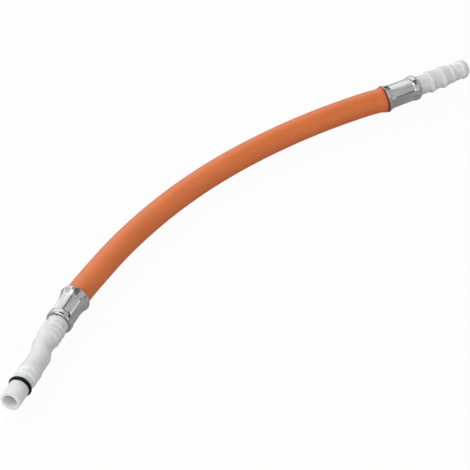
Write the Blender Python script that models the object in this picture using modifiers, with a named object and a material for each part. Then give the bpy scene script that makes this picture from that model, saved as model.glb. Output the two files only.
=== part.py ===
"""Flexible water hose with a plug fitting on one end and a stepped hose nozzle on the other.

A rubber hose is crimped at each end between the barbed tail of a plastic fitting and a pressed
steel ferrule. The assembly lies as it comes to rest: on the rims of both ferrules and on the
middle of the hose's bend. Lengths along a ferrule run outward from its mouth, and lengths along a
fitting run outward from the ferrule's far end.
"""

import math
from collections import namedtuple

import bmesh
import bpy
from mathutils import Matrix, Vector

# Hose
HOSE_OD = 0.0150
HOSE_BORE = 0.0100
HOSE_SWELL = 0.0010
SWELL_REACH = 0.0042
SWELL_STEPS = [0.1, 0.35, 0.6, 0.8, 1.0]
ROUTE_STEP = 0.0070
HOSE_SIDE_STEPS = 6
BORE_OVERRUN = 0.0010

# Centreline of the free hose, in the plane that the hose lies in, from mouth to mouth
ROUTE = [
    (-0.12725, 0.0000),
    (-0.1165, 0.0044),
    (-0.1016, 0.0096),
    (-0.0843, 0.0153),
    (-0.0580, 0.0219),
    (-0.0290, 0.0265),
    (0.0020, 0.0282),
    (0.0330, 0.0265),
    (0.0590, 0.0225),
    (0.0825, 0.0170),
    (0.1030, 0.0105),
    (0.1180, 0.0047),
    (0.12725, 0.0002),
]
PLUG_HEADING = math.radians(-154.3)
NOZZLE_HEADING = math.radians(-16.8)

# Ferrules: the same pressing at both ends
FERRULE_LENGTH = 0.0232
FERRULE_WALL = 0.0005
RIM_BAND = 0.0012
RIM_BAND_TAPER = 0.0003
FLATS_END = 0.0186
FLAT_COUNT = 8
RIDGE_HEIGHT = 0.00025
RIDGE_HALF_ANGLE = math.radians(5.0)
LIP_OD = 0.0160
LIP_RISE = 0.0009
LIP_ROUND = 0.0020

# How far each ferrule is crimped, and how it is turned
PLUG_RIM_OD = 0.0184
PLUG_FLATS_ACROSS = 0.0146
PLUG_FLATS_START = 0.0056
PLUG_CLOCKING = math.radians(31.0)
NOZZLE_RIM_OD = 0.0174
NOZZLE_FLATS_ACROSS = 0.0138
NOZZLE_FLATS_START = 0.0048
NOZZLE_CLOCKING = math.radians(26.5)

# What both fittings share: the barbed tail in the hose, and the groove that takes the ferrule's flange
CLEARANCE = 0.0003
TAIL_INSET = 0.0008
TAIL_BORE = 0.0062
TAIL_ROOT_OD = 0.0084
TAIL_BARB_COUNT = 4
GRIP_DEPTH = 0.0010
COLLAR_LENGTH = 0.0015
COLLAR_OD = 0.0126

# Plug fitting
PLUG_REACH = 0.0695
PLUG_STEM_OD = 0.0129
RIDGE_RING_OD = 0.0139
RIDGE_RING_WIDTH = 0.0019
RIDGE_RINGS = [0.0063, 0.0102, 0.0138]
PLUG_STEM_END = 0.0155
NECK_OD = 0.0122
OFFSET = 0.00265
OFFSET_START = 0.0220
OFFSET_LENGTH = 0.0078
SPIGOT_OD = 0.0119
STOP_RING_OD = 0.0132
STOP_RING_1 = (0.0413, 0.0465)
STOP_RING_2 = (0.0479, 0.0507)
SPIGOT_BORE = 0.0084
SPIGOT_BORE_DEPTH = 0.0110
SPIGOT_CHAMFER = 0.0006
O_RING_OD = 0.0139
O_RING_SECTION = 0.0022
O_RING_PLACE = 0.0562

# Nozzle fitting: barbs as (place of the steep side, length)
NOZZLE_REACH = 0.0361
NOZZLE_STEM_OD = 0.0121
NOZZLE_TIP_STEM_OD = 0.0110
LARGE_BARB_OD = 0.0143
LARGE_BARBS = [(0.00845, 0.0044), (0.01695, 0.0045)]
SMALL_BARB_OD = 0.0123
SMALL_BARB = (0.02375, 0.0030)
TIP_BARB_OD = 0.0125
TIP_BARB = (0.0315, 0.0024)
NOZZLE_TIP_OD = 0.0088
NOZZLE_BORE = 0.0074
BARB_RISE = 0.0004

TURN_STEPS = 24
FERRULE_STEPS = 4 * FLAT_COUNT
EDGE_ROUND = 0.0003

Crimp = namedtuple("Crimp", "rim_od flats_across flats_start clocking")
PLUG_CRIMP = Crimp(PLUG_RIM_OD, PLUG_FLATS_ACROSS, PLUG_FLATS_START, PLUG_CLOCKING)
NOZZLE_CRIMP = Crimp(NOZZLE_RIM_OD, NOZZLE_FLATS_ACROSS, NOZZLE_FLATS_START, NOZZLE_CLOCKING)


def clear_scene():
    for obj in list(bpy.data.objects):
        bpy.data.objects.remove(obj, do_unlink=True)


def collection(name):
    made = bpy.data.collections.new(name)
    bpy.context.scene.collection.children.link(made)
    return made


def material(name, colour, roughness, metallic=0.0):
    mat = bpy.data.materials.new(name)
    mat.use_nodes = True
    shader = mat.node_tree.nodes["Principled BSDF"]
    shader.inputs["Base Color"].default_value = (*colour, 1.0)
    shader.inputs["Roughness"].default_value = roughness
    shader.inputs["Metallic"].default_value = metallic
    return mat


def empty(name, group, parent=None):
    made = bpy.data.objects.new(name, None)
    group.objects.link(made)
    made.parent = parent
    return made


def add_piece(name, mesh, mat, group, parent=None):
    """One named sub-part from its mesh, shaded smooth up to its real edges."""
    mesh.name = name
    mesh.materials.clear()
    mesh.materials.append(mat)
    mesh.shade_smooth()
    mesh.set_sharp_from_angle(angle=math.radians(35))
    obj = bpy.data.objects.new(name, mesh)
    group.objects.link(obj)
    obj.parent = parent
    return obj


def evaluated_mesh(obj):
    """The object's mesh with its modifiers or bevel applied; the object itself is removed."""
    bpy.context.view_layer.update()
    view = obj.evaluated_get(bpy.context.evaluated_depsgraph_get())
    mesh = bpy.data.meshes.new_from_object(view)
    bpy.data.objects.remove(obj, do_unlink=True)
    return mesh


def turned(profile, steps, closed):
    """A mesh turned about Z from (radius, height) points, which run down the outer side."""
    mesh = bpy.data.meshes.new("profile")
    edges = [(i, i + 1) for i in range(len(profile) - 1)]
    if closed:
        edges.append((len(profile) - 1, 0))
    mesh.from_pydata([(r, 0.0, z) for r, z in profile], edges, [])
    obj = bpy.data.objects.new("profile", mesh)
    bpy.context.scene.collection.objects.link(obj)
    screw = obj.modifiers.new("turn", "SCREW")
    screw.axis = "Z"
    screw.angle = math.tau
    screw.steps = steps
    screw.render_steps = steps
    screw.merge_threshold = 0.00001
    return evaluated_mesh(obj)


def eased(value, start, length, ease=0.2):
    """From 0 to 1 along the length, in a straight slope with a rounded foot and head."""
    t = min(max((value - start) / length, 0.0), 1.0)
    slope = 1.0 / (1.0 - ease)
    if t < ease:
        return slope * t * t / (2 * ease)
    if t > 1.0 - ease:
        return 1.0 - slope * (1.0 - t) ** 2 / (2 * ease)
    return slope * (t - ease / 2)


def rounded_step(z, r_above, r_below, height):
    """Two points of a short slope between the radius above a height and the radius below it."""
    return [(r_above, z + height / 2), (r_below, z - height / 2)]


def ring(z_low, z_high, r_ring, r_round):
    """A raised band with rounded edges, from its top down."""
    return [
        (r_ring - r_round, z_high),
        (r_ring, z_high - r_round),
        (r_ring, z_low + r_round),
        (r_ring - r_round, z_low),
    ]


def barb(z_step, length, r_peak, r_root):
    """A barb that ramps up from its outer end and drops steeply on the ferrule's side."""
    return [(r_root, z_step + length), (r_peak, z_step + BARB_RISE), (r_root, z_step)]


def flange_place():
    """Lowest and highest point of the groove round the ferrule's flange, from the ferrule's far end."""
    return -FERRULE_WALL - CLEARANCE, CLEARANCE


def hose_end():
    """How far the hose reaches into the ferrule from its mouth, up to the fitting's collar."""
    return FERRULE_LENGTH + flange_place()[0] - COLLAR_LENGTH - CLEARANCE


def flange_radius():
    """The hole in the flange, clear of the groove that it grips."""
    return COLLAR_OD / 2 - GRIP_DEPTH + CLEARANCE


def tail_profile(r_stem):
    """From the stem's shoulder at the ferrule down the groove, collar and barbs to the tail's end."""
    low, high = flange_place()
    r_collar = COLLAR_OD / 2
    r_groove = r_collar - GRIP_DEPTH
    r_root = TAIL_ROOT_OD / 2
    r_barb = HOSE_BORE / 2 - CLEARANCE
    points = [(r_stem, high), (r_groove, high), (r_groove, low), (r_collar, low)]
    points += [(r_collar, low - COLLAR_LENGTH), (r_root, low - COLLAR_LENGTH)]
    first, end = low - COLLAR_LENGTH - 2 * EDGE_ROUND, TAIL_INSET - FERRULE_LENGTH
    pitch = (first - end) / TAIL_BARB_COUNT
    for i in range(TAIL_BARB_COUNT):
        top = first - i * pitch
        points += [(r_root, top), (r_barb, top - BARB_RISE)]
    points += [(r_root - EDGE_ROUND, end), (TAIL_BORE / 2, end)]
    return points


def plug_profile():
    """The plug fitting's half section: down the outside from the spigot's tip, back up the bore."""
    r_tip, r_neck, r_stem = SPIGOT_OD / 2, NECK_OD / 2, PLUG_STEM_OD / 2
    r_groove = (O_RING_OD - 2 * O_RING_SECTION) / 2 - CLEARANCE
    groove_half = O_RING_SECTION / 2 + CLEARANCE
    points = [
        (r_tip - SPIGOT_CHAMFER, PLUG_REACH),
        (r_tip, PLUG_REACH - SPIGOT_CHAMFER),
        (r_tip, O_RING_PLACE + groove_half),
        (r_groove, O_RING_PLACE + groove_half),
        (r_groove, O_RING_PLACE - groove_half),
        (r_tip, O_RING_PLACE - groove_half),
    ]
    for low, high in (STOP_RING_2, STOP_RING_1):
        points.append((r_tip, high))
        points += ring(low, high, STOP_RING_OD / 2, EDGE_ROUND)[:3]
        points.append((r_neck, low - EDGE_ROUND))
    jog = [OFFSET_START + OFFSET_LENGTH * t for t in (1.0, 0.85, 0.5, 0.15, 0.0)]
    points += [(r_neck, z) for z in jog]
    points += rounded_step(PLUG_STEM_END, r_neck, r_stem, 2 * EDGE_ROUND)
    for z in reversed(RIDGE_RINGS):
        low, high = z - RIDGE_RING_WIDTH / 2, z + RIDGE_RING_WIDTH / 2
        points.append((r_stem, high))
        points.append((RIDGE_RING_OD / 2, high - RIDGE_RING_WIDTH / 3))
        points.append((RIDGE_RING_OD / 2, low + RIDGE_RING_WIDTH / 3))
        points.append((r_stem, low))
    points += tail_profile(r_stem)
    points += [(TAIL_BORE / 2, z) for z in reversed(jog)]
    step = PLUG_REACH - SPIGOT_BORE_DEPTH
    points += [(TAIL_BORE / 2, step), (SPIGOT_BORE / 2, step)]
    points += [(SPIGOT_BORE / 2, PLUG_REACH - EDGE_ROUND)]
    points += [(SPIGOT_BORE / 2 + EDGE_ROUND, PLUG_REACH)]
    return points


def nozzle_profile():
    """The nozzle's half section: two large and two smaller barbs, with a tapered bore."""
    r_stem, r_tip_stem, r_tip = NOZZLE_STEM_OD / 2, NOZZLE_TIP_STEM_OD / 2, NOZZLE_TIP_OD / 2
    z_round, length = TIP_BARB
    r_nose = (TIP_BARB_OD - EDGE_ROUND) / 2
    z_nose = z_round + length
    points = []
    for i in range(4):
        turn = math.radians(90 * (1 - i / 3))
        radius = r_tip + (r_nose - r_tip) * math.cos(turn)
        points.append((radius, z_nose + (NOZZLE_REACH - z_nose) * math.sin(turn)))
    points += barb(*TIP_BARB, TIP_BARB_OD / 2, r_tip_stem)[1:]
    points += barb(*SMALL_BARB, SMALL_BARB_OD / 2, r_tip_stem)
    points += [(r_tip_stem, sum(LARGE_BARBS[1]) + EDGE_ROUND)]
    for place in reversed(LARGE_BARBS):
        points += barb(*place, LARGE_BARB_OD / 2, r_stem)[1:]
        if place is not LARGE_BARBS[0]:
            points.append((r_stem, sum(LARGE_BARBS[0])))
    points += tail_profile(r_stem)
    points.append((NOZZLE_BORE / 2, NOZZLE_REACH - EDGE_ROUND))
    points.append((NOZZLE_BORE / 2 + EDGE_ROUND, NOZZLE_REACH))
    return points


def flare(crimp):
    """A ferrule's outer radius over the middle of its flats, from the mouth to where the flats start."""
    r_rim, r_body = crimp.rim_od / 2, crimp.flats_across / 2
    r_band = r_rim - RIM_BAND_TAPER
    middle = ((RIM_BAND + crimp.flats_start) / 2, (r_band + r_body) / 2)
    return [(0.0, r_rim), (RIM_BAND, r_band), middle, (crimp.flats_start, r_body)]


def ferrule_profile(crimp):
    """The ferrule's outer line before its flats are pressed, from its turned-in flange down to the rim."""
    r_lip, r_body = LIP_OD / 2, crimp.flats_across / 2
    points = [(flange_radius(), FERRULE_LENGTH)]
    for i in range(4):
        turn = math.radians(90 - 30 * i)
        z = FERRULE_LENGTH - LIP_ROUND * (1 - math.sin(turn))
        points.append((r_lip - LIP_ROUND * (1 - math.cos(turn)), z))
    points.append((r_lip, FLATS_END + LIP_RISE))
    points.append((r_body, FLATS_END))
    points += [(radius, z) for z, radius in reversed(flare(crimp))]
    return points


def press_flats(mesh, crimp):
    """Press the ferrule's middle to flats that meet in thin ridges, as the crimping jaws leave it."""
    sector = math.tau / FLAT_COUNT
    sample = math.tau / FERRULE_STEPS
    for v in mesh.vertices:
        x, y, z = v.co
        depth = eased(z, RIM_BAND, crimp.flats_start - RIM_BAND) * (1 - eased(z, FLATS_END, LIP_RISE))
        radius, angle = math.hypot(x, y), math.atan2(y, x)
        from_ridge = (angle + sector / 2) % sector - sector / 2
        beside_ridge = math.isclose(abs(from_ridge), sample, abs_tol=sample / 10)
        if beside_ridge:
            moved = math.copysign(RIDGE_HALF_ANGLE, from_ridge)
            angle += (moved - from_ridge) * depth
            from_ridge += (moved - from_ridge) * depth
        flat = radius / math.cos(sector / 2 - abs(from_ridge))
        if abs(from_ridge) < sample / 10:
            flat += RIDGE_HEIGHT
        radius += (flat - radius) * depth
        v.co = (radius * math.cos(angle), radius * math.sin(angle), z)


def offset_spigot(mesh):
    """Shift what lies beyond the plug's neck sideways, so that the spigot runs parallel to the stem."""
    for v in mesh.vertices:
        v.co.x += OFFSET * eased(v.co.z, OFFSET_START, OFFSET_LENGTH)


def along(heading, distance):
    return (distance * math.cos(heading), distance * math.sin(heading))


def add(a, b):
    return (a[0] + b[0], a[1] + b[1])


def smooth_route():
    """Points a short step apart on a smooth curve through the route, with its ends in line with the ferrules."""
    before = add(ROUTE[0], along(PLUG_HEADING, 0.010))
    after = add(ROUTE[-1], along(NOZZLE_HEADING, 0.010))
    guides = [before] + ROUTE + [after]
    made = []
    for i in range(1, len(guides) - 2):
        p0, p1, p2, p3 = guides[i - 1 : i + 3]
        count = max(1, round(math.dist(p1, p2) / ROUTE_STEP))
        reach = math.dist(p1, p2)
        lead = math.dist(p0, p1)
        trail = math.dist(p2, p3)
        for k in range(count):
            t = k / count
            point = []
            for a, b, c, d in zip(p0, p1, p2, p3):
                start = ((b - a) / lead * reach + (c - b) / reach * lead) / (lead + reach)
                end = ((c - b) / reach * trail + (d - c) / trail * reach) / (reach + trail)
                start, end = start * reach, end * reach
                point.append(
                    (2 * t**3 - 3 * t**2 + 1) * b
                    + (t**3 - 2 * t**2 + t) * start
                    + (3 * t**2 - 2 * t**3) * c
                    + (t**3 - t**2) * end
                )
            made.append(tuple(point))
    made.append(ROUTE[-1])
    return made


def crimped_stations(crimp):
    """Depth inside a ferrule and the hose's outer radius there, clear of the ferrule's inner face."""
    r_crimp = crimp.flats_across / 2 - FERRULE_WALL - CLEARANCE
    mouth = [(z, radius - FERRULE_WALL - CLEARANCE) for z, radius in flare(crimp)[:-1]]
    return [(hose_end(), r_crimp), (crimp.flats_start, r_crimp)] + mouth[::-1]


def swollen_radius(distance):
    """The hose's outer radius just outside a mouth, where the crimp squeezes rubber out."""
    bulge = 0.5 + 0.5 * math.cos(math.pi * min(distance / SWELL_REACH, 1.0))
    return HOSE_OD / 2 + HOSE_SWELL * bulge


def hose_stations():
    """The hose's centreline with its outer radius at each point, from end to end."""
    ends = []
    for mouth, heading, crimp in (
        (ROUTE[0], PLUG_HEADING, PLUG_CRIMP),
        (ROUTE[-1], NOZZLE_HEADING, NOZZLE_CRIMP),
    ):
        stations = [(add(mouth, along(heading, d)), r) for d, r in crimped_stations(crimp)]
        for share in SWELL_STEPS:
            d = share * SWELL_REACH
            stations.append((add(mouth, along(heading, -d)), swollen_radius(d)))
        ends.append(stations)
    clear = SWELL_REACH + ROUTE_STEP / 2
    middle = [p for p in smooth_route() if min(math.dist(p, ROUTE[0]), math.dist(p, ROUTE[-1])) > clear]
    return ends[0] + [(p, HOSE_OD / 2) for p in middle] + ends[1][::-1]


def tube(name, stations, group):
    """A round tube through (point, radius) stations, as a closed mesh object."""
    curve = bpy.data.curves.new(name, "CURVE")
    curve.dimensions = "3D"
    curve.bevel_depth = HOSE_OD / 2
    curve.bevel_resolution = HOSE_SIDE_STEPS
    curve.use_fill_caps = True
    spline = curve.splines.new("POLY")
    spline.points.add(len(stations) - 1)
    for point, ((x, y), radius) in zip(spline.points, stations):
        point.co = (x, y, 0.0, 1.0)
        point.radius = radius / (HOSE_OD / 2)
    obj = bpy.data.objects.new(name, curve)
    group.objects.link(obj)
    mesh = evaluated_mesh(obj)
    weld_caps(mesh)
    made = bpy.data.objects.new(name, mesh)
    group.objects.link(made)
    return made


def weld_caps(mesh):
    work = bmesh.new()
    work.from_mesh(mesh)
    bmesh.ops.remove_doubles(work, verts=work.verts, dist=0.000001)
    work.to_mesh(mesh)
    work.free()


def make_hose(mat, group, cutters, parent):
    """The hose: squeezed in both ferrules, swollen at their mouths, bored from end to end."""
    stations = hose_stations()
    body = tube("hose_body", stations, group)
    start = add(ROUTE[0], along(PLUG_HEADING, hose_end() + BORE_OVERRUN))
    end = add(ROUTE[-1], along(NOZZLE_HEADING, hose_end() + BORE_OVERRUN))
    bore_line = [(p, HOSE_BORE / 2) for p in [start] + smooth_route() + [end]]
    bore = tube("hose_bore", bore_line, cutters)
    bore.hide_render = True
    bore.display_type = "WIRE"
    bore.parent = parent
    cut = body.modifiers.new("bore", "BOOLEAN")
    cut.object = bore
    cut.operation = "DIFFERENCE"
    cut.solver = "EXACT"
    body.name = "hose"
    body.parent = parent
    body.data.materials.append(mat)
    body.data.shade_smooth()
    body.data.set_sharp_from_angle(angle=math.radians(35))
    return body


def make_ferrule(name, crimp, mat, group, parent):
    """A pressed steel ferrule: round rim, crimped flats, round lip and a flange turned inward."""
    mesh = turned(ferrule_profile(crimp), FERRULE_STEPS, closed=False)
    press_flats(mesh, crimp)
    obj = add_piece(name, mesh, mat, group, parent)
    obj.rotation_euler = (0.0, 0.0, crimp.clocking)
    wall = obj.modifiers.new("wall", "SOLIDIFY")
    wall.thickness = FERRULE_WALL
    wall.offset = -1.0
    wall.use_even_offset = True
    return obj


def make_plug_fitting(mat, group, parent):
    mesh = turned(plug_profile(), TURN_STEPS, closed=True)
    offset_spigot(mesh)
    obj = add_piece("plug_fitting", mesh, mat, group, parent)
    obj.location = (0.0, 0.0, FERRULE_LENGTH)
    return obj


def make_nozzle_fitting(mat, group, parent):
    mesh = turned(nozzle_profile(), TURN_STEPS, closed=True)
    obj = add_piece("nozzle_fitting", mesh, mat, group, parent)
    obj.location = (0.0, 0.0, FERRULE_LENGTH)
    return obj


def make_o_ring(mat, group, parent):
    bpy.ops.mesh.primitive_torus_add(
        major_radius=(O_RING_OD - O_RING_SECTION) / 2,
        minor_radius=O_RING_SECTION / 2,
        major_segments=TURN_STEPS,
        minor_segments=10,
    )
    torus = bpy.context.object
    mesh = torus.data.copy()
    bpy.data.objects.remove(torus, do_unlink=True)
    obj = add_piece("o_ring", mesh, mat, group, parent)
    obj.location = (OFFSET, 0.0, FERRULE_LENGTH + O_RING_PLACE)
    return obj


def end_frame(name, mouth, heading, group, parent):
    """An empty at a ferrule's mouth: Z runs outward along the fitting, Y up from the hose's plane."""
    frame = empty(name, group, parent)
    frame.location = (*mouth, 0.0)
    frame.rotation_euler = (math.pi / 2, 0.0, heading + math.pi / 2)
    return frame


def resting_turn():
    """The turn of the hose's plane at which both rims and the middle of the bend touch level ground."""
    bend = max(ROUTE, key=lambda point: point[1])
    contacts = [(ROUTE[0], PLUG_RIM_OD / 2), (ROUTE[-1], NOZZLE_RIM_OD / 2), (bend, HOSE_OD / 2)]
    places = Matrix([(x, y, 1.0) for (x, y), _ in contacts])
    slope_x, slope_y, _ = places.inverted() @ Vector([radius for _, radius in contacts])
    return Vector((0, 0, 1)).rotation_difference(Vector((-slope_x, -slope_y, 1)))


def lay_down(plane, pieces):
    """Turn the hose's plane as it rests, then put the middle of the part's underside at the origin."""
    plane.rotation_euler = resting_turn().to_euler()
    bpy.context.view_layer.update()
    graph = bpy.context.evaluated_depsgraph_get()
    corners = []
    for piece in pieces:
        view = piece.evaluated_get(graph)
        corners += [view.matrix_world @ v.co for v in view.data.vertices]
    low = [min(c[i] for c in corners) for i in range(3)]
    high = [max(c[i] for c in corners) for i in range(3)]
    plane.location = (-(low[0] + high[0]) / 2, -(low[1] + high[1]) / 2, -low[2])


def main():
    clear_scene()
    group = collection("flexible_hose")
    cutters = collection("cutters")
    rubber = material("orange_rubber", (0.60, 0.18, 0.06), 0.55)
    plastic = material("white_plastic", (0.78, 0.78, 0.77), 0.40)
    steel = material("plated_steel", (0.72, 0.72, 0.71), 0.25, 1.0)
    seal = material("black_rubber", (0.012, 0.012, 0.012), 0.45)

    plane = empty("hose_plane", group)
    plug_end = end_frame("plug_end", ROUTE[0], PLUG_HEADING, group, plane)
    nozzle_end = end_frame("nozzle_end", ROUTE[-1], NOZZLE_HEADING, group, plane)
    pieces = [
        make_hose(rubber, group, cutters, plane),
        make_plug_fitting(plastic, group, plug_end),
        make_o_ring(seal, group, plug_end),
        make_nozzle_fitting(plastic, group, nozzle_end),
        make_ferrule("plug_ferrule", PLUG_CRIMP, steel, group, plug_end),
        make_ferrule("nozzle_ferrule", NOZZLE_CRIMP, steel, group, nozzle_end),
    ]
    lay_down(plane, pieces)


main()
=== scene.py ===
"""The looks of a flexible water hose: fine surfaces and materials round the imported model."""

import math
from collections import namedtuple

import bmesh
import bpy
from mathutils import Matrix, Vector


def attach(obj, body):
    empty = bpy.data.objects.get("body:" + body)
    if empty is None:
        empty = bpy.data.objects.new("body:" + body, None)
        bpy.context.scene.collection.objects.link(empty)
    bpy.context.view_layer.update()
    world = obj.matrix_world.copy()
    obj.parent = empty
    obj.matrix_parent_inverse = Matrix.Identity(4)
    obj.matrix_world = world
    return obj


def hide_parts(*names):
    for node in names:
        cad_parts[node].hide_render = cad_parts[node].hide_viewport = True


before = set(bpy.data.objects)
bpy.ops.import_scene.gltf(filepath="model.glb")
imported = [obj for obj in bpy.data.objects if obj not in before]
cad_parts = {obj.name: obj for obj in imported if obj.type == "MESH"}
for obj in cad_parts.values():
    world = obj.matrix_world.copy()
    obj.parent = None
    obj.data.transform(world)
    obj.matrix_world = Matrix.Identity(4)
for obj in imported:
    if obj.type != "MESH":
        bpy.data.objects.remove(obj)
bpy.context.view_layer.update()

MM = 0.001

# The plane that the hose lies in: the middle between the ferrules' mouths, in metres
PLANE_PLACE = (0.013329, 0.005982, 0.008953)

# Centreline of the free hose in its plane, from mouth to mouth, in metres
ROUTE = [
    (-0.12725, 0.0000),
    (-0.1165, 0.0044),
    (-0.1016, 0.0096),
    (-0.0843, 0.0153),
    (-0.0580, 0.0219),
    (-0.0290, 0.0265),
    (0.0020, 0.0282),
    (0.0330, 0.0265),
    (0.0590, 0.0225),
    (0.0825, 0.0170),
    (0.1030, 0.0105),
    (0.1180, 0.0047),
    (0.12725, 0.0002),
]
PLUG_HEADING = math.radians(-154.3)
NOZZLE_HEADING = math.radians(-16.8)

# Hose, in millimetres as all sizes below
HOSE_OD = 15.0
HOSE_BORE = 10.0
HOSE_SIDES = 72
ROUTE_STEP = 1.5
ROUTE_LEAD = 10.0
Station = namedtuple("Station", "point radius from_mouth")

# The rubber that a crimp squeezes out of its mouth: how far it swells, how far the painted shade near each
# mouth reaches, and where the painted shadow in the mouth's gap lies
HOSE_SWELL = 1.0
SWELL_REACH = 4.2
SWELL_AT_MOUTH = 0.75
SWELL_GAIN = 0.5
MOUTH_SHADE_REACH = 4.0
GAP_SHADOW_REACH = (0.3, 0.9)

# The hose inside a ferrule: how deep it runs, the gap round it, and where it narrows
HOSE_END = 20.6
HOSE_END_STEPS = 24
HOSE_GAP = 0.3
NARROWING_START = 0.6
NARROWING_TRIM = 0.9

# Ferrules: the same pressing at both ends, crimped and turned differently
FERRULE_LENGTH = 23.2
FERRULE_WALL = 0.5
RIM_BAND = 1.2
RIM_BAND_TAPER = 0.3
FLATS_END = 18.6
FLAT_COUNT = 8
RIDGE_HEIGHT = 0.25
RIDGE_HALF_ANGLE = math.radians(3.4)
LIP_OD = 16.0
LIP_RISE = 0.9
LIP_ROUND = 2.0
FLANGE_R = 5.6
FERRULE_SIDES = 24 * FLAT_COUNT
FERRULE_STEP = 0.35
WALL_EDGE_STEPS = 8
Crimp = namedtuple("Crimp", "rim_od flats_across flats_start clocking")
PLUG_CRIMP = Crimp(18.4, 14.6, 5.6, math.radians(31.0))
NOZZLE_CRIMP = Crimp(17.4, 13.8, 4.8, math.radians(26.5))

# Both fittings' tails and the groove for the flange, from the ferrule's far end
TAIL_END = -22.4
TAIL_BORE = 6.2
TAIL_ROOT_OD = 8.4
TAIL_TIP_CUT = 0.3
TAIL_BARBS = 4
TAIL_BARB_OD = 9.4
TAIL_BARB_START = 0.6
GROOVE = (-0.8, 0.3)
GROOVE_OD = 10.6
COLLAR_LENGTH = 1.5
COLLAR_OD = 12.6

# Plug fitting, from the ferrule's far end
PLUG_REACH = 69.5
PLUG_STEM_OD = 12.9
RIDGE_RING_OD = 13.9
RIDGE_RING_WIDTH = 1.9
RIDGE_RING_FOOT = 0.3
RIDGE_RING_HEAD = 0.5
RIDGE_RINGS = [6.3, 10.2, 13.8]
PLUG_STEM_END = 15.5
PLUG_STEM_SLOPE = 0.5
NECK_OD = 12.2
OFFSET = 2.65
OFFSET_START = 22.0
OFFSET_LENGTH = 7.8
SPIGOT_OD = 11.9
STOP_RING_OD = 13.2
STOP_RING_1 = (41.3, 46.5)
STOP_RING_2 = (47.9, 50.7)
STOP_RING_FOOT = 0.3
SPIGOT_BORE = 8.4
SPIGOT_BORE_DEPTH = 11.0
O_RING_OD = 13.9
O_RING_SECTION = 2.2
O_RING_PLACE = 56.2
O_RING_GROOVE_OD = 8.9
O_RING_GAP = 0.3
O_RING_SIDES = 24
PLUG_STEP = 0.8

# Nozzle fitting, from the ferrule's far end
NOZZLE_REACH = 36.1
NOZZLE_STEM_OD = 12.1
NOZZLE_TIP_STEM_OD = 11.0
LARGE_BARB_OD = 14.3
LARGE_BARBS = [(8.45, 4.4), (16.95, 4.5)]
SMALL_BARB_OD = 12.3
SMALL_BARB = (23.75, 3.0)
TIP_BARB_OD = 12.5
TIP_BARB = (31.5, 2.4)
TIP_BARB_SHOULDER = 0.2
NOZZLE_TIP_OD = 8.8
NOZZLE_TIP_LIP = 0.1
NOZZLE_BORE = 7.4
NOZZLE_STEP = 2.0

# Both fittings
BARB_RISE = 0.4
TURN_SIDES = 96
SHARP_ANGLE = math.radians(40)

# How much of a side the rounding of one corner may take, and how much of a slope its foot takes
TRIM_LIMIT = 0.49
EASE = 0.2

# Camera: heading, height and roll of the view, and how far it stands from its aim
VIEW_AZIMUTH = math.radians(-38.66)
VIEW_ELEVATION = math.radians(38.0)
VIEW_ROLL = math.radians(-7.11)
VIEW_DISTANCE = 1.45
VIEW_AIM = (-0.00702, -0.01341, 0.00041)
VIEW_ANGLE = math.radians(10.98)

# Colours of the surfaces: a plain one, and the two that a pattern blends over its middle range
PATTERN_RANGE = (0.3, 0.7)
RUBBER_COLOUR = (0.635, 0.144, 0.023)
RUBBER_PATCHES = [(0.605, 0.134, 0.019), (0.665, 0.154, 0.027)]
# Painted shade near the mouths: the rubber darker and redder there, as if shaded
RUBBER_MOUTH_SHADE = (0.50, 0.060, 0.020)
# Painted shadow: near-black rubber in the gap just outside each mouth
RUBBER_GAP_SHADOW = (0.05, 0.012, 0.006)
PLASTIC_COLOUR = (0.633, 0.633, 0.638)
PLASTIC_WAVES = [(0.615, 0.615, 0.62), (0.65, 0.65, 0.655)]
STEEL_COLOUR = (0.42, 0.42, 0.42)
STEEL_DRAWN = [(0.31, 0.31, 0.31), (0.53, 0.53, 0.535)]
SEAL_COLOUR = (0.003, 0.003, 0.003)

# The mix node's sockets by number, because they share names: two values, two colours and the colour out
MIX_VALUES = (2, 3)
MIX_COLOURS = (6, 7)
MIX_COLOUR_OUT = 2

# Lamps as (name, right, ahead, height, size, power), placed from the view's heading
LAMPS = [
    ("window", -0.14, 0.93, 0.72, 1.25, 6.6),
    ("key", -0.60, -0.56, 0.82, 0.85, 5.8),
    ("fill", -0.42, -0.88, 0.30, 0.5, 0.9),
]

# Floor: grey paper, whitened for the camera and less so in mirrors, with its shadow kept
FLOOR_SIZE = 8.0
FLOOR_COLOUR = (0.50, 0.50, 0.50)
SEEN_WHITENED = 0.96
MIRRORED_WHITENED = 0.22

# Room: an even level, and screens as (azimuth range, elevation range, softness, level), in degrees
# with azimuth 0 straight ahead and 90 on the right
ROOM_LEVEL = 0.45
SCREENS = [
    ((38, 145), (12, 56), 10, 0.92),
    ((100, 176), (58, 80), 6, 0.05),
    ((14, 74), (56, 80), 6, 0.04),
    ((4, 60), (-8, 12), 5, 0.04),
    ((62, 82), (0, 20), 5, 0.10),
    ((132, 176), (0, 26), 6, 1.30),
    ((-176, -100), (0, 22), 6, 0.90),
    ((-112, -34), (24, 84), 8, 0.66),
    ((-70, -28), (-4, 19), 8, 1.30),
    ((-62, -30), (20, 66), 8, 1.20),
]


# Shapes

def rounded(corners, steps=5):
    """The outline through (radius, height, trim) corners, each rounded over its trim length on both sides."""
    points = []
    count = len(corners)
    for i, (r, z, trim) in enumerate(corners):
        here = Vector((r, z))
        if trim == 0:
            points.append(here)
            continue
        before = Vector(corners[i - 1][:2]) - here
        after = Vector(corners[(i + 1) % count][:2]) - here
        start = here + before.normalized() * min(trim, before.length * TRIM_LIMIT)
        end = here + after.normalized() * min(trim, after.length * TRIM_LIMIT)
        for k in range(steps + 1):
            t = k / steps
            points.append(start * (1 - t) ** 2 + here * 2 * t * (1 - t) + end * t * t)
    return points


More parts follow.
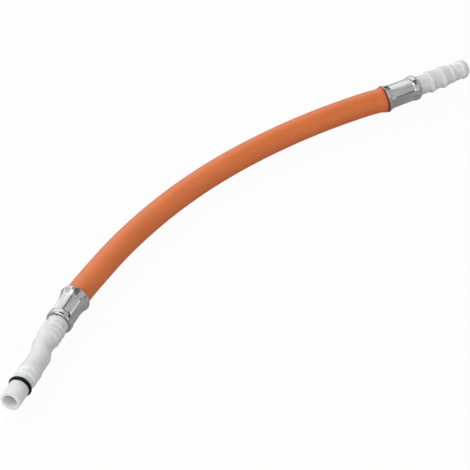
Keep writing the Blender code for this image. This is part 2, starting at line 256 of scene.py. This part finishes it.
def subdivided(points, step, closed=True):
    """The same outline with no two points further apart than a step."""
    made = []
    ends = points[1:] + points[:1] if closed else points[1:]
    for a, b in zip(points, ends):
        count = max(1, math.ceil((b - a).length / step))
        made += [a.lerp(b, k / count) for k in range(count)]
    if not closed:
        made.append(points[-1])
    return made


def skin(name, rows, material, parent):
    """A closed surface through rows of points, each a ring, with the last row joined to the first."""
    work = bmesh.new()
    rings = [[work.verts.new(point) for point in row] for row in rows]
    for ring, following in zip(rings, rings[1:] + rings[:1]):
        count = len(ring)
        for k in range(count):
            n = (k + 1) % count
            work.faces.new((ring[k], ring[n], following[n], following[k]))
    bmesh.ops.recalc_face_normals(work, faces=work.faces)
    mesh = bpy.data.meshes.new(name)
    work.to_mesh(mesh)
    work.free()
    mesh.materials.append(material)
    mesh.shade_smooth()
    mesh.set_sharp_from_angle(angle=SHARP_ANGLE)
    piece = bpy.data.objects.new(name, mesh)
    bpy.context.scene.collection.objects.link(piece)
    piece.parent = parent
    return piece


def settled(piece):
    """Moves a piece's place into its points, which keep their own coordinates for the pattern."""
    mesh = piece.data
    marks = mesh.attributes.new("own_place", "FLOAT_VECTOR", "POINT")
    marks.data.foreach_set("vector", [number for vertex in mesh.vertices for number in vertex.co])
    place = piece.matrix_world.copy()
    piece.parent = None
    mesh.transform(place)
    piece.matrix_world = Matrix()


def ring_points(radius, height, sides, shape=None):
    """A ring about Z; shape adds to the radius by the angle."""
    made = []
    for k in range(sides):
        angle = math.tau * k / sides
        r = radius + (shape(angle) if shape else 0.0)
        made.append(Vector((r * math.cos(angle), r * math.sin(angle), height)) * MM)
    return made


def eased(value, start, length):
    """From 0 to 1 along the length, in a straight slope with a rounded foot and head."""
    t = min(max((value - start) / length, 0.0), 1.0)
    slope = 1.0 / (1.0 - EASE)
    if t < EASE:
        return slope * t * t / (2 * EASE)
    if t > 1.0 - EASE:
        return 1.0 - slope * (1.0 - t) ** 2 / (2 * EASE)
    return slope * (t - EASE / 2)


def turned(name, outline, material, parent, offset=None):
    """A turned piece from its closed outline; offset gives how far a height is moved sideways."""
    rows = []
    for r, z in outline:
        row = ring_points(r, z, TURN_SIDES)
        if offset:
            shift = Vector((offset(z) * MM, 0, 0))
            row = [point + shift for point in row]
        rows.append(row)
    return skin(name, rows, material, parent)


def empty(name, matrix):
    made = bpy.data.objects.new(name, None)
    bpy.context.scene.collection.objects.link(made)
    made.matrix_world = matrix
    return made


def plane_matrix():
    """The hose's plane, turned so that both rims and the middle of the bend touch the ground."""
    bend = max(ROUTE, key=lambda point: point[1])
    contacts = [(ROUTE[0], PLUG_CRIMP.rim_od), (ROUTE[-1], NOZZLE_CRIMP.rim_od), (bend, HOSE_OD)]
    places = Matrix([(x, y, 1.0) for (x, y), _ in contacts])
    slope_x, slope_y, _ = places.inverted() @ Vector([width * MM / 2 for _, width in contacts])
    turn = Vector((0, 0, 1)).rotation_difference(Vector((-slope_x, -slope_y, 1)))
    return Matrix.Translation(PLANE_PLACE) @ turn.to_matrix().to_4x4()


def end_matrix(mouth, heading):
    """A frame at a mouth: Z runs outward along the fitting, Y up from the hose's plane."""
    turn = Matrix.Rotation(heading + math.pi / 2, 4, "Z") @ Matrix.Rotation(math.pi / 2, 4, "X")
    return plane_matrix() @ Matrix.Translation((*mouth, 0.0)) @ turn


# Turned outlines

def tail_corners(r_stem):
    """From the stem's shoulder down the groove, collar and barbs to the tail's inner end."""
    low, high = GROOVE
    r_root, r_barb = TAIL_ROOT_OD / 2, TAIL_BARB_OD / 2
    corners = [(r_stem, high, 0.25), (GROOVE_OD / 2, high, 0.1), (GROOVE_OD / 2, low, 0.1)]
    corners += [(COLLAR_OD / 2, low, 0.15), (COLLAR_OD / 2, low - COLLAR_LENGTH, 0.2)]
    corners.append((r_root, low - COLLAR_LENGTH, 0.2))
    barbs_top = low - COLLAR_LENGTH - TAIL_BARB_START
    pitch = (barbs_top - TAIL_END) / TAIL_BARBS
    for i in range(TAIL_BARBS):
        top = barbs_top - i * pitch
        corners += [(r_root, top, 0.1), (r_barb, top - BARB_RISE, 0.15)]
    corners += [(r_root - TAIL_TIP_CUT, TAIL_END, 0.1), (TAIL_BORE / 2, TAIL_END, 0.1)]
    return corners


def plug_corners():
    """From the spigot's end back to the tail, and out again through the bore."""
    r_tip, r_neck, r_stem = SPIGOT_OD / 2, NECK_OD / 2, PLUG_STEM_OD / 2
    r_groove, r_stop = O_RING_GROOVE_OD / 2, STOP_RING_OD / 2
    half = O_RING_SECTION / 2 + O_RING_GAP
    corners = [
        (r_tip, PLUG_REACH, 0.6),
        (r_tip, O_RING_PLACE + half, 0.15),
        (r_groove, O_RING_PLACE + half, 0.3),
        (r_groove, O_RING_PLACE - half, 0.3),
        (r_tip, O_RING_PLACE - half, 0.15),
    ]
    for low, high in (STOP_RING_2, STOP_RING_1):
        corners += [(r_tip, high, 0.25), (r_stop, high, 0.3), (r_stop, low, 0.35)]
        corners.append((r_neck, low - STOP_RING_FOOT, 0.5))
    corners += [(r_neck, PLUG_STEM_END + PLUG_STEM_SLOPE, 0.5), (r_stem, PLUG_STEM_END, 0.4)]
    for z in reversed(RIDGE_RINGS):
        low, high = z - RIDGE_RING_WIDTH / 2, z + RIDGE_RING_WIDTH / 2
        corners += [(r_stem, high + RIDGE_RING_FOOT, 0.5), (RIDGE_RING_OD / 2, high - RIDGE_RING_HEAD, 0.6)]
        corners += [(RIDGE_RING_OD / 2, low + RIDGE_RING_HEAD, 0.6), (r_stem, low - RIDGE_RING_FOOT, 0.5)]
    corners += tail_corners(r_stem)
    step = PLUG_REACH - SPIGOT_BORE_DEPTH
    corners += [(TAIL_BORE / 2, step, 0.2), (SPIGOT_BORE / 2, step, 0.3)]
    corners.append((SPIGOT_BORE / 2, PLUG_REACH, 0.3))
    return corners


def barb_corners(place, r_peak, r_root):
    """A barb's slope, peak and root, from its place as (height, length)."""
    z, length = place
    return [(r_root, z + length, 0.6), (r_peak, z + BARB_RISE, 0.35), (r_root, z, 0.25)]


def nozzle_corners():
    """From the nozzle's end back to the tail, and out again through the bore."""
    r_stem, r_tip_stem, r_tip = NOZZLE_STEM_OD / 2, NOZZLE_TIP_STEM_OD / 2, NOZZLE_TIP_OD / 2
    r_shoulder = TIP_BARB_OD / 2 - TIP_BARB_SHOULDER
    corners = [(r_tip + NOZZLE_TIP_LIP, NOZZLE_REACH, 0.3), (r_shoulder, sum(TIP_BARB), 1.6)]
    corners += barb_corners(TIP_BARB, TIP_BARB_OD / 2, r_tip_stem)[1:]
    corners += barb_corners(SMALL_BARB, SMALL_BARB_OD / 2, r_tip_stem)
    corners += barb_corners(LARGE_BARBS[1], LARGE_BARB_OD / 2, r_stem)
    corners += barb_corners(LARGE_BARBS[0], LARGE_BARB_OD / 2, r_stem)
    corners += tail_corners(r_stem)
    corners.append((NOZZLE_BORE / 2, NOZZLE_REACH, 0.3))
    return corners


# Ferrules

def ferrule_outline(crimp):
    """The outer line of the wall from the flange's edge down to the rim."""
    r_lip, r_body = LIP_OD / 2, crimp.flats_across / 2
    r_band = crimp.rim_od / 2 - RIM_BAND_TAPER
    middle = ((r_band + r_body) / 2, (RIM_BAND + crimp.flats_start) / 2)
    corners = [
        (FLANGE_R, FERRULE_LENGTH, 0),
        (r_lip, FERRULE_LENGTH, LIP_ROUND),
        (r_lip, FLATS_END + LIP_RISE, 0.5),
        (r_body, FLATS_END, 0.12),
        (r_body, crimp.flats_start, 1.2),
        (*middle, 0.6),
        (r_band, RIM_BAND, 0.8),
        (crimp.rim_od / 2, FERRULE_WALL / 2, 0),
    ]
    return subdivided(rounded(corners, WALL_EDGE_STEPS), FERRULE_STEP, closed=False)


def rim_edge(crimp):
    """The rolled-off edge of the rim between the wall's outer and inner lines."""
    half = FERRULE_WALL / 2
    turns = [math.pi * k / WALL_EDGE_STEPS for k in range(1, WALL_EDGE_STEPS)]
    r_middle = crimp.rim_od / 2 - half
    return [Vector((r_middle + half * math.cos(turn), half - half * math.sin(turn))) for turn in turns]


def offset_inward(outline, distance):
    """The line a wall's thickness inside an outline, point for point."""
    made = []
    for i, point in enumerate(outline):
        run = outline[min(i + 1, len(outline) - 1)] - outline[max(i - 1, 0)]
        inward = Vector((run.y, -run.x)).normalized()
        made.append(point + inward * distance)
    return made


def pressed(crimp, height):
    """How the jaws change the radius at a height, by the angle: flats that meet in thin ridges."""
    rise = eased(height, RIM_BAND, crimp.flats_start - RIM_BAND)
    depth = rise * (1 - eased(height, FLATS_END, LIP_RISE))
    sector = math.tau / FLAT_COUNT

    def shape(angle):
        from_ridge = (angle + sector / 2) % sector - sector / 2
        flat = crimp.flats_across / 2 * (1 / math.cos(sector / 2 - abs(from_ridge)) - 1)
        ridge = RIDGE_HEIGHT * math.exp(-((from_ridge / RIDGE_HALF_ANGLE) ** 4))
        return (flat + ridge) * depth

    return shape


def ferrule(name, crimp, material, parent):
    """A ferrule as one wall: its outer side, its rim's edge and its inner side."""
    outer = ferrule_outline(crimp)
    inner = offset_inward(outer, FERRULE_WALL)
    edge = rim_edge(crimp)
    rows = []
    for wall in (zip(outer, outer), zip(edge, edge), list(zip(inner, outer))[::-1]):
        for point, reference in wall:
            rows.append(ring_points(point.x, point.y, FERRULE_SIDES, pressed(crimp, reference.y)))
    piece = skin(name, rows, material, parent)
    piece.rotation_euler = (0.0, 0.0, crimp.clocking)
    return piece


# Hose

def along(heading, distance):
    return Vector((math.cos(heading), math.sin(heading))) * distance


def smooth_route(step):
    """Points on a smooth curve through the route, a short step apart and in line with both ferrules."""
    before = Vector(ROUTE[0]) + along(PLUG_HEADING, ROUTE_LEAD * MM)
    after = Vector(ROUTE[-1]) + along(NOZZLE_HEADING, ROUTE_LEAD * MM)
    guides = [before] + [Vector(p) for p in ROUTE] + [after]
    made = []
    for p0, p1, p2, p3 in zip(guides, guides[1:], guides[2:], guides[3:]):
        lead, reach, trail = (p1 - p0).length, (p2 - p1).length, (p3 - p2).length
        start = ((p1 - p0) / lead * reach + (p2 - p1) / reach * lead) / (lead + reach) * reach
        end = ((p2 - p1) / reach * trail + (p3 - p2) / trail * reach) / (reach + trail) * reach
        count = max(1, round(reach / step))
        for k in range(count):
            t = k / count
            made.append(
                p1 * (2 * t**3 - 3 * t**2 + 1)
                + start * (t**3 - 2 * t**2 + t)
                + p2 * (3 * t**2 - 2 * t**3)
                + end * (t**3 - t**2)
            )
    made.append(Vector(ROUTE[-1]))
    return made


def crimped_radius(crimp, depth):
    """The hose's outer radius at a depth inside a ferrule."""
    r_mouth = crimp.rim_od / 2 - FERRULE_WALL - HOSE_GAP
    r_crimp = crimp.flats_across / 2 - FERRULE_WALL - HOSE_GAP
    narrowing = crimp.flats_start - NARROWING_TRIM
    return r_mouth + (r_crimp - r_mouth) * eased(depth, NARROWING_START, narrowing)


def free_radius(distance):
    """The hose's outer radius outside a mouth, where the crimp squeezes rubber out."""
    bulge = 0.5 + 0.5 * math.cos(math.pi * min(distance / SWELL_REACH, 1.0))
    return HOSE_OD / 2 + HOSE_SWELL * bulge * min(1.0, SWELL_AT_MOUTH + SWELL_GAIN * distance)


def hose_stations():
    """The centreline from end to end, with the hose's radius and how far each point is from a mouth."""
    depths = [HOSE_END * (1 - k / HOSE_END_STEPS) for k in range(HOSE_END_STEPS)]
    free = smooth_route(ROUTE_STEP * MM)
    walked = [0.0]
    for a, b in zip(free, free[1:]):
        walked.append(walked[-1] + (b - a).length / MM)
    stations = []
    for d in depths:
        point = free[0] + along(PLUG_HEADING, d * MM)
        stations.append(Station(point, crimped_radius(PLUG_CRIMP, d), 0.0))
    for point, distance in zip(free, walked):
        nearest = min(distance, walked[-1] - distance)
        stations.append(Station(point, free_radius(nearest), nearest))
    for d in reversed(depths):
        point = free[-1] + along(NOZZLE_HEADING, d * MM)
        stations.append(Station(point, crimped_radius(NOZZLE_CRIMP, d), 0.0))
    return stations


def hose_rows(points, radii):
    """Rings of the given radii square to the line through the points."""
    rows = []
    for i, (point, radius) in enumerate(zip(points, radii)):
        heading = (points[min(i + 1, len(points) - 1)] - points[max(i - 1, 0)]).normalized()
        side = Vector((heading.y, -heading.x, 0))
        row = []
        for k in range(HOSE_SIDES):
            angle = math.tau * k / HOSE_SIDES
            out = side * math.cos(angle) + Vector((0, 0, math.sin(angle)))
            row.append(Vector((*point, 0)) + out * radius * MM)
        rows.append(row)
    return rows


def hose(material, parent):
    """The hose, marked with how far each point is from a mouth."""
    stations = hose_stations()
    points = [station.point for station in stations]
    rows = hose_rows(points, [station.radius for station in stations])
    rows += hose_rows(points, [HOSE_BORE / 2] * len(points))[::-1]
    piece = skin("hose_skin", rows, material, parent)
    marks = piece.data.attributes.new("from_mouth", "FLOAT", "POINT")
    distances = [station.from_mouth for station in stations]
    marks.data.foreach_set("value", [d for d in distances + distances[::-1] for _ in range(HOSE_SIDES)])
    return piece


# Fittings and seal

def neck_offset(height):
    """How far the plug is moved sideways at a height, beyond the bends of its neck."""
    return OFFSET * eased(height, OFFSET_START, OFFSET_LENGTH)


def plug_fitting(material, parent):
    outline = subdivided(rounded(plug_corners()), PLUG_STEP)
    return turned("plug_skin", outline, material, parent, neck_offset)


def nozzle_fitting(material, parent):
    outline = subdivided(rounded(nozzle_corners()), NOZZLE_STEP)
    return turned("nozzle_skin", outline, material, parent)


def o_ring(material, parent):
    r_section = O_RING_SECTION / 2
    outline = []
    for k in range(O_RING_SIDES):
        turn = -math.tau * k / O_RING_SIDES
        r = O_RING_OD / 2 - r_section + r_section * math.cos(turn)
        outline.append((r, O_RING_PLACE + r_section * math.sin(turn)))
    return turned("o_ring_skin", outline, material, parent, neck_offset)


# Materials

def node(tree, kind, inputs=None, **settings):
    """A shader node with its settings, and its inputs given as values or as sockets to link."""
    made = tree.nodes.new(kind)
    for name, value in settings.items():
        setattr(made, name, value)
    for name, value in (inputs or {}).items():
        socket = made.inputs[name]
        if isinstance(value, bpy.types.NodeSocket):
            tree.links.new(value, socket)
        else:
            socket.default_value = value
    return made


def principled(name, colour, roughness, **inputs):
    mat = bpy.data.materials.new(name)
    mat.use_nodes = True
    shader = mat.node_tree.nodes["Principled BSDF"]
    shader.inputs["Base Color"].default_value = (*colour, 1.0)
    shader.inputs["Roughness"].default_value = roughness
    for key, value in inputs.items():
        shader.inputs[key.replace("_", " ")].default_value = value
    return mat, mat.node_tree, shader


def own_place(tree, scale=(1, 1, 1)):
    """The piece's own coordinates, which may be stretched."""
    place = node(tree, "ShaderNodeAttribute", attribute_name="own_place").outputs["Vector"]
    return node(tree, "ShaderNodeMapping", {"Vector": place, "Scale": scale}).outputs[0]


def noise(tree, vector, scale, detail=3.0):
    inputs = {"Vector": vector, "Scale": scale, "Detail": detail}
    return node(tree, "ShaderNodeTexNoise", inputs).outputs["Fac"]


def blend_colours(tree, factor, low, high):
    """From one colour to the other as a pattern rises through its middle range."""
    ramp = node(tree, "ShaderNodeValToRGB", {"Fac": factor})
    for stop, position, colour in zip(ramp.color_ramp.elements, PATTERN_RANGE, (low, high)):
        stop.position = position
        stop.color = (*colour, 1.0)
    return ramp.outputs["Color"]


def ranged(tree, value, low, high, start=0.0, end=1.0, smooth=False):
    """A value moved from one range to another and kept within it."""
    inputs = {"Value": value, "From Min": start, "From Max": end, "To Min": low, "To Max": high}
    kind = "SMOOTHSTEP" if smooth else "LINEAR"
    return node(tree, "ShaderNodeMapRange", inputs, interpolation_type=kind).outputs["Result"]


def bump(tree, height, strength, distance, normal=None):
    inputs = {"Height": height, "Strength": strength, "Distance": distance}
    if normal:
        inputs["Normal"] = normal
    return node(tree, "ShaderNodeBump", inputs).outputs["Normal"]


def combined(tree, operation, *values):
    """A sum done on two or three values."""
    return node(tree, "ShaderNodeMath", dict(enumerate(values)), operation=operation).outputs[0]


def mixed_colours(tree, factor, first, second):
    """The first colour, replaced by the second as the factor rises."""
    low, high = MIX_COLOURS
    inputs = {"Factor": factor, low: first, high: (*second, 1.0)}
    return node(tree, "ShaderNodeMix", inputs, data_type="RGBA").outputs[MIX_COLOUR_OUT]


def orange_rubber():
    mat, tree, shader = principled("orange_rubber", RUBBER_COLOUR, 0.50, Specular_IOR_Level=0.6)
    even = own_place(tree)
    patches = noise(tree, even, scale=45, detail=4)
    grain = noise(tree, even, scale=2600)
    from_mouth = node(tree, "ShaderNodeAttribute", attribute_name="from_mouth").outputs["Fac"]
    # Painted shade: the rubber darkens and reddens over the last few millimetres before each mouth
    mouth_shade = ranged(tree, from_mouth, 0.55, 0.0, 0.0, MOUTH_SHADE_REACH, smooth=True)
    # Painted shadow: the rubber turns near-black in the gap right at each mouth
    gap_shadow = ranged(tree, from_mouth, 0.85, 0.0, *GAP_SHADOW_REACH, smooth=True)
    plain = blend_colours(tree, patches, *RUBBER_PATCHES)
    mouth_shaded = mixed_colours(tree, mouth_shade, plain, RUBBER_MOUTH_SHADE)
    links = tree.links.new
    # The painted shade and then the painted shadow laid over the rubber's own patches
    links(mixed_colours(tree, gap_shadow, mouth_shaded, RUBBER_GAP_SHADOW), shader.inputs["Base Color"])
    links(ranged(tree, patches, low=0.46, high=0.56), shader.inputs["Roughness"])
    links(bump(tree, grain, strength=0.25, distance=0.00008), shader.inputs["Normal"])
    return mat


def white_plastic():
    mat, tree, shader = principled(
        "white_plastic", PLASTIC_COLOUR, 0.38, Subsurface_Weight=1.0, Subsurface_Scale=0.004
    )
    shader.inputs["Subsurface Radius"].default_value = (1.0, 1.0, 1.0)
    shader.subsurface_method = "BURLEY"
    even = own_place(tree)
    waves = noise(tree, even, scale=120, detail=2)
    grain = noise(tree, even, scale=3200)
    links = tree.links.new
    links(blend_colours(tree, waves, *PLASTIC_WAVES), shader.inputs["Base Color"])
    links(ranged(tree, waves, low=0.34, high=0.44), shader.inputs["Roughness"])
    links(bump(tree, grain, strength=0.15, distance=0.00005), shader.inputs["Normal"])
    return mat


def plated_steel():
    mat, tree, shader = principled("plated_steel", STEEL_COLOUR, 0.15, Metallic=1.0)
    drawn = noise(tree, own_place(tree, scale=(1, 1, 0.06)), scale=1100)
    dents = noise(tree, own_place(tree), scale=300, detail=2)
    links = tree.links.new
    links(blend_colours(tree, drawn, *STEEL_DRAWN), shader.inputs["Base Color"])
    links(ranged(tree, drawn, low=0.10, high=0.22), shader.inputs["Roughness"])
    scored = bump(tree, drawn, strength=0.25, distance=0.00006)
    links(bump(tree, dents, strength=0.30, distance=0.0002, normal=scored), shader.inputs["Normal"])
    return mat


def black_rubber():
    mat, tree, shader = principled("black_rubber", SEAL_COLOUR, 0.26, Specular_IOR_Level=0.12)
    grain = noise(tree, own_place(tree), scale=2500, detail=2)
    links = tree.links.new
    links(ranged(tree, grain, low=0.22, high=0.32), shader.inputs["Roughness"])
    links(bump(tree, grain, strength=0.15, distance=0.00005), shader.inputs["Normal"])
    return mat


# Stage

def from_view(right, ahead, height):
    """A place or direction given from the view's heading."""
    flat_right = Vector((math.cos(VIEW_AZIMUTH), math.sin(VIEW_AZIMUTH), 0))
    flat_ahead = Vector((-math.sin(VIEW_AZIMUTH), math.cos(VIEW_AZIMUTH), 0))
    return flat_right * right + flat_ahead * ahead + Vector((0, 0, height))


def view_axes():
    """The directions right, up and ahead of the photograph's view."""
    ahead = from_view(0, math.cos(VIEW_ELEVATION), -math.sin(VIEW_ELEVATION))
    flat_right = from_view(1, 0, 0)
    level_up = flat_right.cross(ahead)
    right = flat_right * math.cos(VIEW_ROLL) + level_up * math.sin(VIEW_ROLL)
    up = level_up * math.cos(VIEW_ROLL) - flat_right * math.sin(VIEW_ROLL)
    return right, up, ahead


def camera():
    right, up, ahead = view_axes()
    data = bpy.data.cameras.new("camera")
    data.angle = VIEW_ANGLE
    made = bpy.data.objects.new("camera", data)
    bpy.context.scene.collection.objects.link(made)
    turn = Matrix((right, up, -ahead)).transposed().to_4x4()
    made.matrix_world = Matrix.Translation(Vector(VIEW_AIM) - ahead * VIEW_DISTANCE) @ turn
    bpy.context.scene.camera = made


def lamp(name, right, ahead, height, size, power):
    """A soft square lamp placed from the view's heading and aimed at the object."""
    data = bpy.data.lights.new(name, "AREA")
    data.size = size
    data.energy = power
    made = bpy.data.objects.new(name, data)
    bpy.context.scene.collection.objects.link(made)
    place = from_view(right, ahead, height)
    made.location = place
    made.rotation_euler = place.to_track_quat("Z", "Y").to_euler()


def floor():
    bpy.ops.mesh.primitive_plane_add(size=FLOOR_SIZE)
    plane = bpy.context.object
    plane.name = "floor"
    mat = bpy.data.materials.new("floor")
    mat.use_nodes = True
    tree = mat.node_tree
    tree.nodes.clear()
    paper = node(tree, "ShaderNodeBsdfDiffuse", {"Color": (*FLOOR_COLOUR, 1)})
    white = node(tree, "ShaderNodeEmission", {"Color": (1, 1, 1, 1), "Strength": 1.0})
    path = node(tree, "ShaderNodeLightPath").outputs
    mirrored = combined(tree, "MAXIMUM", path["Is Glossy Ray"], path["Is Transmission Ray"])
    seen = combined(tree, "MULTIPLY", path["Is Camera Ray"], SEEN_WHITENED)
    share = combined(tree, "MULTIPLY_ADD", mirrored, MIRRORED_WHITENED, seen)
    mix = node(tree, "ShaderNodeMixShader", {0: share, 1: paper.outputs[0], 2: white.outputs[0]})
    node(tree, "ShaderNodeOutputMaterial", {"Surface": mix.outputs[0]})
    plane.data.materials.append(mat)


def within(tree, value, limits, soft):
    """1 where a value lies between two limits in degrees, fading to 0 beyond them."""
    low, high = (math.radians(limit) for limit in limits)
    half = math.radians(soft) / 2
    rise = ranged(tree, value, 0.0, 1.0, low - half, low + half, smooth=True)
    fall = ranged(tree, value, 1.0, 0.0, high - half, high + half, smooth=True)
    return combined(tree, "MULTIPLY", rise, fall)


def reached(tree, vector, direction):
    """How far a vector reaches along a direction."""
    inputs = {0: vector, 1: direction}
    return node(tree, "ShaderNodeVectorMath", inputs, operation="DOT_PRODUCT").outputs["Value"]


def room():
    """An even room with lighter and darker screens, which the steel mirrors."""
    made = bpy.data.worlds.new("room")
    made.use_nodes = True
    tree = made.node_tree
    tree.nodes.clear()
    place = node(tree, "ShaderNodeTexCoord").outputs["Generated"]
    right, ahead = (reached(tree, place, from_view(*side, 0)) for side in ((1, 0), (0, 1)))
    height = node(tree, "ShaderNodeSeparateXYZ", {0: place}).outputs["Z"]
    azimuth = combined(tree, "ARCTAN2", right, ahead)
    elevation = combined(tree, "ARCSINE", height)
    level = ROOM_LEVEL
    for azimuths, elevations, soft, screen_level in SCREENS:
        here = within(tree, azimuth, azimuths, soft)
        here = combined(tree, "MULTIPLY", here, within(tree, elevation, elevations, soft))
        low, high = MIX_VALUES
        inputs = {"Factor": here, low: level, high: screen_level}
        level = node(tree, "ShaderNodeMix", inputs).outputs[0]
    shader = node(tree, "ShaderNodeBackground", {"Color": (1, 1, 1, 1), "Strength": level})
    node(tree, "ShaderNodeOutputWorld", {"Surface": shader.outputs[0]})
    bpy.context.scene.world = made


def main():
    bpy.context.scene.view_settings.view_transform = "Standard"
    camera()
    rubber, plastic, steel, seal = orange_rubber(), white_plastic(), plated_steel(), black_rubber()
    plane = empty("hose_plane", plane_matrix())
    plug_end = empty("plug_end", end_matrix(ROUTE[0], PLUG_HEADING))
    nozzle_end = empty("nozzle_end", end_matrix(ROUTE[-1], NOZZLE_HEADING))
    beyond = Matrix.Translation((0, 0, FERRULE_LENGTH * MM))
    plug_place = empty("plug_place", plug_end.matrix_world @ beyond)
    nozzle_place = empty("nozzle_place", nozzle_end.matrix_world @ beyond)

    pieces = {
        "hose": (hose(rubber, plane), "orange_rubber"),
        "plug_fitting": (plug_fitting(plastic, plug_place), "white_plastic"),
        "o_ring": (o_ring(seal, plug_place), "black_rubber"),
        "nozzle_fitting": (nozzle_fitting(plastic, nozzle_place), "white_plastic"),
        "plug_ferrule": (ferrule("plug_ferrule_skin", PLUG_CRIMP, steel, plug_end), "plated_steel"),
        "nozzle_ferrule": (ferrule("nozzle_ferrule_skin", NOZZLE_CRIMP, steel, nozzle_end), "plated_steel"),
    }
    bpy.context.view_layer.update()
    for name, (piece, slot) in pieces.items():
        settled(piece)
        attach(piece, "root")
        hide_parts(name)

    stations = hose_stations()
    to_frame = plane_matrix()
    path = [to_frame @ Vector((*station.point, 0)) for station in stations]
    length = sum((b - a).length for a, b in zip(path, path[1:]))

    floor()
    room()
    for settings in LAMPS:
        lamp(*settings)


main()
